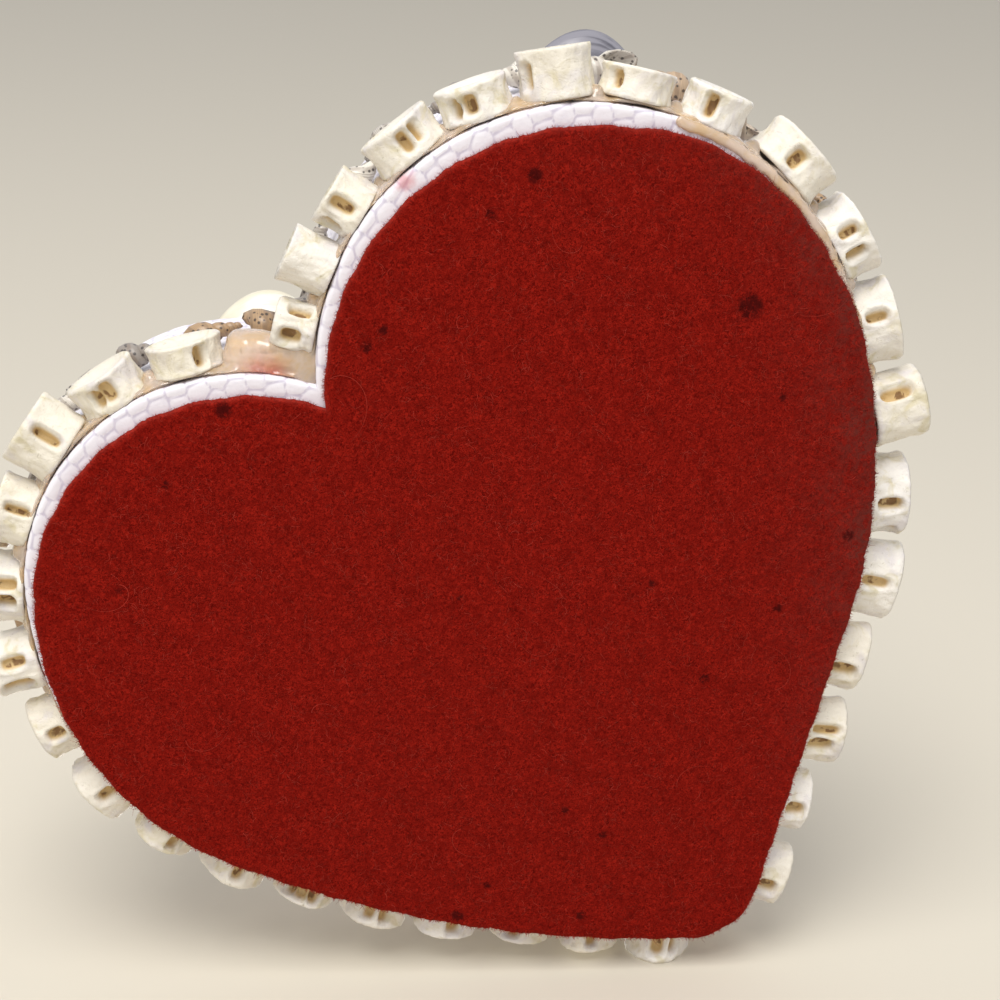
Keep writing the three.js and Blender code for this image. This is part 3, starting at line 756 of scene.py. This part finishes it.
def ball(centre, reach, rings=10, sides=16):
    polar = np.linspace(0, math.pi, rings)[1:-1]
    around = np.linspace(0, 2 * math.pi, sides, endpoint=False)
    stack = []
    for angle in polar:
        stack.append(np.column_stack([
            centre[0] + reach[0] * math.sin(angle) * np.cos(around),
            centre[1] + reach[1] * math.sin(angle) * np.sin(around),
            np.full(sides, centre[2] + reach[2] * math.cos(angle))]))
    return sweep(stack)


run = heart_wall[:, 4]
swell = 0.75 + 0.2 * np.sin(run * 0.7 + 2 * np.sin(run * 0.13)) + 0.1 * np.sin(run * 1.9)
for place_of_bone in vertebra_runs:
    swell += 0.35 * np.exp(-(((run - place_of_bone) / 3.0) ** 2))
bead_rings = []
for angle in np.linspace(0, 2 * math.pi, 14, endpoint=False):
    plan = heart_ring(-0.1 + swell * (0.5 + 0.5 * math.cos(angle)))
    height = (GLUE_LOW + GLUE_HIGH) / 2 + (GLUE_HIGH - GLUE_LOW) / 2 * math.sin(angle)
    bead_rings.append(np.column_stack([plan, np.full(len(plan), height)]))
glue_parts = [sweep(bead_rings + bead_rings[:1], closed=False)]
for number in range(12):
    for standoff, size in ((1.2, 2.0), (2.9, 1.5)):
        reach = size + 0.4 * scatter(6, number)
        place_on_wall = wall_at(right_flank, 0.6 + number * POOL_STEP, standoff + 0.4 * scatter(5, number))[0]
        glue_parts.append(ball((*place_on_wall, 5.2 + 0.5 * scatter(7, number)), (reach, reach, 3.1)))
for number in range(5):
    place_on_wall = wall_at(left_flank, 0.5 + number * 0.9, 1.2)[0]
    glue_parts.append(ball((*place_on_wall, 5.2), (2.1, 2.1, 3.2)))
for number, distance in enumerate(np.arange(*SMEARED, 0.7)):
    place_on_wall = wall_at(left_flank, distance, -0.35 - 0.3 * scatter(13, number))[0]
    glue_parts.append(ball((*place_on_wall, 1.3), (0.85, 0.85, 0.42 + 0.2 * scatter(14, number))))
ordered_runs = np.sort(vertebra_runs)
for number, (before, after) in enumerate(zip(ordered_runs, ordered_runs[1:])):
    nearest = np.argmin(np.abs(run - (before + after) / 2 - 1.5 * (scatter(8, number) - 0.5)))
    direction = heart_wall[nearest, 2:4] / np.linalg.norm(heart_wall[nearest, 2:4])
    reach = 0.8 + 0.6 * scatter(9, number)
    drop = heart_wall[nearest, :2] + direction * (0.3 + 0.6 * scatter(11, number))
    glue_parts.append(ball((*drop, 3.6 + 3 * scatter(10, number)), (reach, reach, reach * 1.4)))
points, faces, unmarked = joined([(points, faces, [0]) for points, faces in glue_parts])
rough_glue = made_piece("glue_lumps", points, faces)
melt = rough_glue.modifiers.new("melt", "REMESH")
melt.mode = "VOXEL"
melt.voxel_size = GLUE_VOXEL * 0.001
ease = rough_glue.modifiers.new("ease", "SMOOTH")
ease.factor = 0.5
ease.iterations = 4
melted = bpy.data.meshes.new_from_object(rough_glue.evaluated_get(bpy.context.evaluated_depsgraph_get()))
bpy.data.objects.remove(rough_glue)
melted.name = "glue_bead"
melted.shade_smooth()
glue = bpy.data.objects.new("glue_bead", melted)
bpy.context.scene.collection.objects.link(glue)
clear_glue, tree, shader = new_finish(
    "clear_glue", linear(250, 232, 208), 0.09, Transmission_Weight=0.6, IOR=1.45, Specular_IOR_Level=0.6,
    Coat_Weight=0.6, Coat_Roughness=0.04)
place = object_place(tree)
haze = spread_values(tree, noise(tree, place, 300, 4, 0.5), 0.4, 0.65)
glue_color = blend_colors(tree, haze, linear(250, 228, 206), linear(246, 214, 168))
red_stain = ragged_spot(tree, place, (0.0092, 0.0472, 0.0025), 500, 0.002, 0.0015, 0.0062, 0.85)
glue_color = blend_colors(tree, red_stain, glue_color, linear(222, 78, 62))
tree.links.new(glue_color, shader.inputs["Base Color"])
raise_bump(tree, shader, noise(tree, place, 240, 3, 1.0), 0.45, 0.0006)
glue.data.materials.append(clear_glue)
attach(glue, "root")
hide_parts("hot_glue")

# Small snail shells are strung along the wall above the vertebrae and along the lid's edge, each
# one lying on its side against the next. They are grey, brown and white, with dark specks.
WHORL_STEPS = 18
WHORL_SIDES = 10
BANDS_TURN = 31.4
SHELL_KINDS = (  # whorls, how much each shrinks, rise, stretch and knobs
    (4.2, 0.66, 2.4, 1.25, 0.0), (3.2, 0.52, 1.25, 1.05, 0.0), (4.6, 0.7, 3.1, 1.3, 0.35))


def spiral_shell(whorls, shrink, rise, stretch, knobs, steps=WHORL_STEPS, sides=WHORL_SIDES):
    """A snail of one tube wound round Z with its tip up, as wide as 2 across. Gives its points and faces,
    how far along and how far round the tube each point is."""
    theta = np.linspace(0, 2 * math.pi * whorls, int(whorls * steps) + 1)
    psi = np.linspace(0, 2 * math.pi, sides, endpoint=False)
    scale = shrink ** (theta / 2 / math.pi)
    flare = 1 + 0.18 * np.exp(-theta / 0.35)
    knobby = np.maximum(0, np.cos(theta * 7))[:, None] * np.maximum(0, np.cos(psi - 0.7))[None, :] ** 2
    tube = 0.5 * scale[:, None] * flare[:, None] * (1 + knobs * knobby)
    out = 0.5 * scale[:, None] + tube * np.cos(psi)
    points = np.stack([
        out * np.cos(theta)[:, None],
        out * np.sin(theta)[:, None],
        rise * (1 - scale)[:, None] + tube * stretch * np.sin(psi)], -1)
    middle = points[0].mean(0)
    mouth = middle + (points[0] - middle) * 0.82
    deep = middle + (points[3] - points[0]).mean(0) * 0.8 + (points[0] - middle) * 0.6
    rings = [deep, mouth] + list(points)
    swept, faces = sweep(rings)
    along = np.concatenate([[0.0, 0.0], theta / theta[-1]])
    return swept, faces, np.repeat(along, sides), np.tile(psi / 2 / math.pi, len(rings))


def turn_to(tip, roll):
    """Turns a shell's tip from +Z to a direction, after a roll about its own axis."""
    aim = Vector(tip).normalized().to_track_quat("Z", "Y").to_matrix()
    return np.array(aim @ Matrix.Rotation(roll, 3, "Z"))


def shell_string(name, node_name, pitch, standoff, middle, seed, low_limit, high_limit):
    """A row of small shells along both flanks, kept between two heights."""
    parts, number = [], 0
    for flank in (left_flank, right_flank):
        distance = pitch * 0.6
        while distance < flank[-1, 4] - pitch * 0.2:
            luck = scatter(seed + number * 0.37, np.arange(9))
            length = pitch * (0.98 + 0.25 * luck[0])
            shell, faces, along, girth = spiral_shell(*SHELL_KINDS[int(luck[1] * 3)])
            tall = np.ptp(shell[:, 2])
            wide = (4.9 + 0.9 * luck[2]) / 2.1
            shell[:, 2] = (shell[:, 2] - shell[:, 2].min() - tall / 2) * length / tall
            shell[:, :2] *= wide
            place_on_wall, out = wall_at(flank, distance, standoff + 0.5 * (luck[3] - 0.5))
            tangent = np.array((-out[1], out[0])) * (1 if luck[4] > 0.5 else -1)
            tip = (*(tangent + out * 0.35 * (luck[5] - 0.5)), 0.5 * (luck[6] - 0.5))
            placed = shell @ turn_to(tip, 6.28 * luck[7]).T + (*place_on_wall, middle + 0.5 * (luck[8] - 0.5))
            placed[:, 2] = np.clip(placed[:, 2], low_limit, high_limit)
            tone = np.full(len(shell), scatter(seed + 40, number))
            parts.append((placed, faces, np.column_stack([tone, girth])))
            distance += pitch
            number += 1
    points, faces, marks = joined(parts)
    piece = made_piece(name, points, faces, tone=marks[:, 0], girth=marks[:, 1])
    piece.data.materials.append(small_shell)
    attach(piece, "root")
    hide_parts(node_name)


small_shell, tree, shader = new_finish("speckled_shell", linear(139, 133, 128), 0.35, Specular_IOR_Level=0.5)
place = object_place(tree)
tone = mark(tree, "tone")
white_ones, brown_ones = spread_values(tree, tone, 0.3, 0.5), spread_values(tree, tone, 0.7, 0.8)
shell_color = blend_colors(tree, white_ones, linear(150, 142, 134), linear(226, 220, 208))
shell_color = blend_colors(tree, brown_ones, shell_color, linear(176, 146, 112))
bands = calculate(tree, "SINE", calculate(tree, "MULTIPLY", mark(tree, "girth"), BANDS_TURN))
bands = spread_values(tree, bands, 0.2, 0.9, 0, 0.45)
shell_color = blend_colors(tree, bands, shell_color, linear(120, 100, 84))
specks = add_node(tree, "ShaderNodeTexVoronoi", {"Vector": place}, Scale=1300.0)
speck_shade = spread_values(tree, specks.outputs["Distance"], 0.22, 0.36, 0.85, 0)
shell_color = blend_colors(tree, speck_shade, shell_color, linear(52, 46, 44))
tree.links.new(shell_color, shader.inputs["Base Color"])
raise_bump(tree, shader, noise(tree, place, 900, 4), 0.3, 0.0002)

shell_string(
    "wall_small_shells", "small_shell_row", pitch=9.0, standoff=2.3, middle=14.7, seed=21,
    low_limit=11.9, high_limit=17.5)
shell_string(
    "lid_edge_shells", "lid_shell_border", pitch=8.2, standoff=-4.3, middle=LID_TOP + 2.0, seed=57,
    low_limit=LID_TOP + 0.05, high_limit=LID_TOP + 4.6)

# Two flowers of clam valves stand on the lid round a snail each, with the hollow of every valve up.
# One flower starts with a long lilac valve that reaches past the edge, and the other with a cream one.
FAN_ANGLE = math.radians(78)
PETAL_TILT = math.radians(16)
PETAL_DEPTH = 5.5
PETAL_WALL = 1.3
FLOWERS = {
    "left": {"bend": LEFT_BENDS[0][0], "umbo": 9.5, "size": (22, 22), "first": (31, 28), "angle": 137},
    "right": {"bend": RIGHT_BENDS[0][0], "umbo": 8.5, "size": (15.8, 17.5), "first": (23, 24), "angle": 136}}


def clam_valve(length, width, height, wall, ribs=0, rib_depth=0.0, cup=True, rows=34, columns=44):
    """A valve that grows from its umbo along X, with each point's growth, turn and side."""
    growth, turn = np.meshgrid(np.linspace(0.02, 1, rows), np.linspace(-1, 1, columns + 1), indexing="ij")
    angle = turn * FAN_ANGLE
    reach = length * growth * np.cos(angle * 0.82) ** 0.45
    arch = np.sin(np.pi * growth**0.62).clip(0) ** 0.8 * (1 - np.abs(turn) ** 2.6)
    rib = rib_depth * growth * np.cos(np.pi * ribs * turn) if ribs else 0
    lines = 0.06 * np.sin(growth * 150) + 0.1 * np.sin(growth * 47 + 2)
    skins = []
    for sunk in (0, wall):
        z = height * arch + rib + (lines if sunk == 0 else 0) - sunk * (0.35 + 0.65 * (1 - growth**6))
        y = reach * np.sin(angle) * width / 2 / (0.86 * length)
        skins.append(np.stack([reach * np.cos(angle), y, -z if cup else z], -1))
    points = np.vstack([skin.reshape(-1, 3) for skin in skins])
    across = columns + 1
    faces = []
    size = rows * across
    for row in range(rows - 1):
        for column in range(columns):
            a = row * across + column
            b, c, d = a + 1, a + across + 1, a + across
            faces += [(a, b, c, d), (a + size, d + size, c + size, b + size)]
    for row in range(rows - 1):
        for column in (0, columns):
            a = row * across + column
            faces.append((a, a + across, a + across + size, a + size))
    for column in range(columns):
        for row in (0, rows - 1):
            a = row * across + column
            faces.append((a, a + 1, a + 1 + size, a + size))
    hollow = np.concatenate([np.zeros(size), np.ones(size)])
    return points, faces, np.tile(growth.ravel(), 2), np.tile(turn.ravel(), 2), hollow


def valve_finish(name, outer_light, outer_dark, inner, streaks, bands):
    """Growth lines and patches on the outside, and a smooth lining that pales to the rim."""
    material, tree, shader = new_finish(
        name, outer_light, 0.32, Specular_IOR_Level=0.5, Coat_Weight=0.15, Coat_Roughness=0.2)
    place = object_place(tree)
    growth, turn = mark(tree, "growth"), mark(tree, "turn")
    lines = add_node(tree, "ShaderNodeCombineXYZ", {"X": growth, "Y": turn})
    ringed = add_node(tree, "ShaderNodeVectorMath", {0: lines.outputs[0]}, operation="MULTIPLY")
    ringed.inputs[1].default_value = (bands, streaks, 1)
    ring_noise = spread_values(tree, noise(tree, ringed.outputs[0], 1.0, 4, 0.3), 0.42, 0.62)
    outer = blend_colors(tree, ring_noise, outer_light, outer_dark)
    patches = spread_values(tree, noise(tree, place, 160, 4), 0.4, 0.7, 0, 0.45)
    outer = blend_colors(tree, patches, outer, outer_light)
    lining = blend_colors(tree, spread_values(tree, growth, 0.55, 0.95), inner, outer_light)
    tree.links.new(blend_colors(tree, mark(tree, "hollow"), outer, lining), shader.inputs["Base Color"])
    ring_bump = raise_bump(tree, None, ring_noise, 0.3, 0.0002)
    raise_bump(tree, shader, noise(tree, place, 700, 4), 0.2, 0.00015, ring_bump)
    return material


lilac_clam = valve_finish(
    "lilac_clam", linear(134, 132, 140), linear(78, 77, 86), linear(206, 196, 212), 2.0, 30.0)
cream_clam = valve_finish(
    "cream_clam", linear(236, 232, 216), linear(220, 212, 188), linear(244, 238, 228), 1.2, 22.0)


def set_on_lid(name, node_name, points, faces, material, slot_name, **marks):
    """Rests a shell on the lid where its solid rests."""
    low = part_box(node_name)[0][2] * 1000
    points = points + (0, 0, low - points[:, 2].min())
    piece = made_piece(name, points, faces, weld=0.004, **marks)
    piece.data.materials.append(material)
    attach(piece, "root")
    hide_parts(node_name)


flower_middles = {}
for side, sizes in FLOWERS.items():
    out = np.array((math.sin(NOTCH_HEADING) * (1 if side == "left" else -1), math.cos(NOTCH_HEADING)))
    middle = flower_middles[side] = notch - out * sizes["bend"]
    for number in range(5):
        length, width = sizes["first"] if number == 0 else sizes["size"]
        points, faces, growth, turn, hollow = clam_valve(length, width, PETAL_DEPTH, PETAL_WALL)
        angle = math.radians(sizes["angle"] + 72 * number)
        points = points @ np.array(Matrix.Rotation(-PETAL_TILT, 3, "Y")).T + (sizes["umbo"], 0, 0)
        points = points @ np.array(Matrix.Rotation(angle, 3, "Z")).T + (*middle, 0)
        lilac = (number % 2 == 0) == (side == "left")
        set_on_lid(
            f"clam_{side}_{number + 1}", f"petal_{side}_{number + 1}", points, faces,
            lilac_clam if lilac else cream_clam, "lilac_clam" if lilac else "cream_clam",
            growth=growth, turn=turn, hollow=hollow)

# A banded snail fills the middle of each flower, tip up. Like the valves round it, it is a real
# shell and is held to the lid with a little glue.
SNAIL_RADIUS = 6.4
SNAIL_BANDS = 4
banded_snail, tree, shader = new_finish(
    "banded_snail", linear(186, 146, 106), 0.3, Specular_IOR_Level=0.5, Coat_Weight=0.2, Coat_Roughness=0.2)
place = object_place(tree)
bands = calculate(tree, "SINE", calculate(tree, "MULTIPLY", mark(tree, "girth"), 2 * math.pi * SNAIL_BANDS))
patches = spread_values(tree, noise(tree, place, 240, 4, 0.6), 0.35, 0.7)
dark_bands = spread_values(tree, bands, 0.35, 0.85, 0, 0.75)
pale_tip = spread_values(tree, mark(tree, "along"), 0.7, 1.0, 0, 0.5)
snail_color = blend_colors(tree, patches, linear(205, 168, 128), linear(160, 116, 80))
snail_color = blend_colors(tree, dark_bands, snail_color, linear(104, 70, 48))
snail_color = blend_colors(tree, pale_tip, snail_color, linear(226, 204, 178))
tree.links.new(snail_color, shader.inputs["Base Color"])
raise_bump(tree, shader, bands, 0.25, 0.0003)
for side, middle in flower_middles.items():
    points, faces, along, girth = spiral_shell(4.6, 0.56, 1.62, 1.12, 0.0, steps=40, sides=26)
    low, high = (np.array(corner) * 1000 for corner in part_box(f"snail_{side}"))
    wide, tall = SNAIL_RADIUS / 1.04, (high[2] - low[2]) / np.ptp(points[:, 2])
    points = points * (wide, wide, tall) + (*middle, 0)
    set_on_lid(
        f"flower_snail_{side}", f"snail_{side}", points, faces, banded_snail, "snail_shell",
        along=along, girth=girth)

# A ribbed cockle valve sits between the flowers and the tip, hollow side down, and a glossy cowrie
# lies on each side below it. All three are real shells, glued to the paper of the lid.
COCKLE_LENGTH, COCKLE_WIDTH, COCKLE_HEIGHT, COCKLE_WALL = 29, 32, 10, 1.6
COCKLE_RIBS = 11
COCKLE_RIB_DEPTH = 0.7
COWRIE_HALF_WIDTH = 5.75
COWRIE_HALF_LENGTH = 8.5
COWRIE_HALF_HEIGHT = 4.5
COWRIE_SPLAY = math.radians(35)
low, high = (np.array(corner) * 1000 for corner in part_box("cockle"))
points, faces, growth, turn, hollow = clam_valve(
    COCKLE_LENGTH, COCKLE_WIDTH, COCKLE_HEIGHT, COCKLE_WALL, COCKLE_RIBS, COCKLE_RIB_DEPTH,
    cup=False, rows=40, columns=132)
points[:, 2] += 0.16 * growth * np.cos(growth * 95) * (1 - hollow)
points = points @ np.array(Matrix.Rotation(-math.pi / 2, 3, "Z")).T + ((low[0] + high[0]) / 2, high[1], 0)
set_on_lid(
    "ribbed_cockle", "cockle", points, faces, cream_clam, "cream_clam",
    growth=growth, turn=turn, hollow=hollow)

cowrie_glaze, tree, shader = new_finish(
    "cowrie_glaze", linear(168, 128, 88), 0.16, Specular_IOR_Level=0.6, Coat_Weight=0.5, Coat_Roughness=0.08)
place = object_place(tree)
spots = add_node(tree, "ShaderNodeTexVoronoi", {"Vector": place}, Scale=620.0)
clouds = spread_values(tree, noise(tree, place, 190, 4, 0.8), 0.35, 0.7)
pale_spots = spread_values(tree, spots.outputs["Distance"], 0.25, 0.42, 0.7, 0)
cowrie_color = blend_colors(tree, clouds, linear(196, 160, 118), linear(128, 84, 52))
cowrie_color = blend_colors(tree, pale_spots, cowrie_color, linear(232, 212, 180))
cowrie_color = blend_colors(
    tree, spread_values(tree, mark(tree, "skirt"), 0.2, 0.8), cowrie_color, linear(238, 228, 210))
tree.links.new(cowrie_color, shader.inputs["Base Color"])
for side, sign in (("left", -1), ("right", 1)):
    low, high = (np.array(corner) * 1000 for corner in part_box(f"cowrie_{side}"))
    polar = np.linspace(0, math.pi, 50)[1:-1]
    around = np.linspace(0, 2 * math.pi, 64, endpoint=False)
    rings = []
    for angle in polar:
        egg = math.sin(angle) * (1 + 0.1 * math.cos(angle))
        flat = np.maximum(np.sin(around) * egg, -0.55)
        rings.append(np.column_stack([
            COWRIE_HALF_WIDTH * np.cos(around) * egg,
            np.full(len(around), COWRIE_HALF_LENGTH * math.cos(angle)),
            COWRIE_HALF_HEIGHT * flat]))
    points, faces = sweep(rings)
    skirt = np.clip(-points[:, 2] / 2.4, 0, 1)
    points[:, :2] *= 1 + 0.05 * skirt[:, None]
    points = points @ np.array(Matrix.Rotation(sign * COWRIE_SPLAY, 3, "Z")).T + (*(low + high)[:2] / 2, 0)
    set_on_lid(
        f"glossy_cowrie_{side}", f"cowrie_{side}", points, faces, cowrie_glaze, "cowrie_shell", skirt=skirt)

# The box stands on the flank of one lobe on a plain pale cloth-coloured floor, seen from a little
# above, under soft light. A second floor carries it upright for views from above. Each floor
# shows from its upper side only, and the second neither shades nor tints the underside.
PHOTO_UP = np.array((-0.618, 0.786, 0.0))
FLOOR_COLOR = linear(209, 202, 187)
CAMERA_RIGHT = np.array((-0.807047, -0.578933, -0.116248))
CAMERA_UP = np.array((-0.578939, 0.737027, 0.348743))
CAMERA_BACK = np.array((-0.116221, 0.348755, -0.929981))
CAMERA_PLACE = (-0.03685, 0.10887, -0.24835)
CAMERA_LENS = 72


def floor(name, middle, up, size):
    bpy.ops.mesh.primitive_plane_add(size=size, location=Vector(middle))
    made = bpy.context.active_object
    made.name = name
    made.rotation_mode = "QUATERNION"
    made.rotation_quaternion = Vector(up).to_track_quat("Z", "Y")
    material, tree, shader = new_finish(name, FLOOR_COLOR, 0.9, Specular_IOR_Level=0.1)
    facing = add_node(tree, "ShaderNodeNewGeometry")
    clear = add_node(tree, "ShaderNodeBsdfTransparent")
    mix = add_node(
        tree, "ShaderNodeMixShader",
        {0: facing.outputs["Backfacing"], 1: shader.outputs[0], 2: clear.outputs[0]})
    tree.links.new(mix.outputs[0], tree.nodes["Material Output"].inputs["Surface"])
    made.data.materials.append(material)
    made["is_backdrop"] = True
    return made


foot_of_ring = min(
    (np.array([tuple(vertex.co) for vertex in piece.data.vertices]) @ PHOTO_UP).min()
    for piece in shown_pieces() if piece.name.startswith("bone_"))
photo_floor = floor("photo_floor", tuple(PHOTO_UP * foot_of_ring), tuple(PHOTO_UP), 6.0)
photo_floor.visible_shadow = False
upright_floor = floor("upright_floor", (0, 0, -0.0002), (0, 0, 1), 4.0)
upright_floor.visible_shadow = False
upright_floor.visible_diffuse = False
upright_floor.visible_glossy = False
upright_floor.visible_transmission = False


def soft_light(name, place, aim, size, energy, color=(1, 1, 1)):
    lamp = bpy.data.lights.new(name, "AREA")
    lamp.size = size
    lamp.energy = energy
    lamp.color = color
    made = bpy.data.objects.new(name, lamp)
    bpy.context.scene.collection.objects.link(made)
    made.location = place
    made.rotation_mode = "QUATERNION"
    made.rotation_quaternion = (Vector(aim) - Vector(place)).to_track_quat("-Z", "Y")
    made.visible_camera = False
    return made


window_place = PHOTO_UP * 0.75 + CAMERA_BACK * 0.45 - CAMERA_RIGHT * 0.15
soft_light("window", window_place, (0, 0, 0), 0.6, 9.4, (1.0, 0.98, 0.95))
soft_light("top", (0.24, -0.4, 0.75), (0, 0, 0.02), 0.35, 6.5)
world = bpy.data.worlds.new("pale_room")
world.use_nodes = True
world.node_tree.nodes["Background"].inputs["Color"].default_value = (0.95, 0.96, 1.0, 1)
world.node_tree.nodes["Background"].inputs["Strength"].default_value = 0.7
bpy.context.scene.world = world
bpy.context.scene.view_settings.view_transform = "Standard"

camera = bpy.data.objects.new("camera", bpy.data.cameras.new("camera"))
bpy.context.scene.collection.objects.link(camera)
camera.data.lens = CAMERA_LENS
camera.data.sensor_width = 36
camera.data.clip_start = 0.01
camera.data.clip_end = 20
axes = np.column_stack([CAMERA_RIGHT, CAMERA_UP, CAMERA_BACK])
camera.matrix_world = Matrix.LocRotScale(Vector(CAMERA_PLACE), Matrix(axes.tolist()), None)
bpy.context.scene.camera = camera
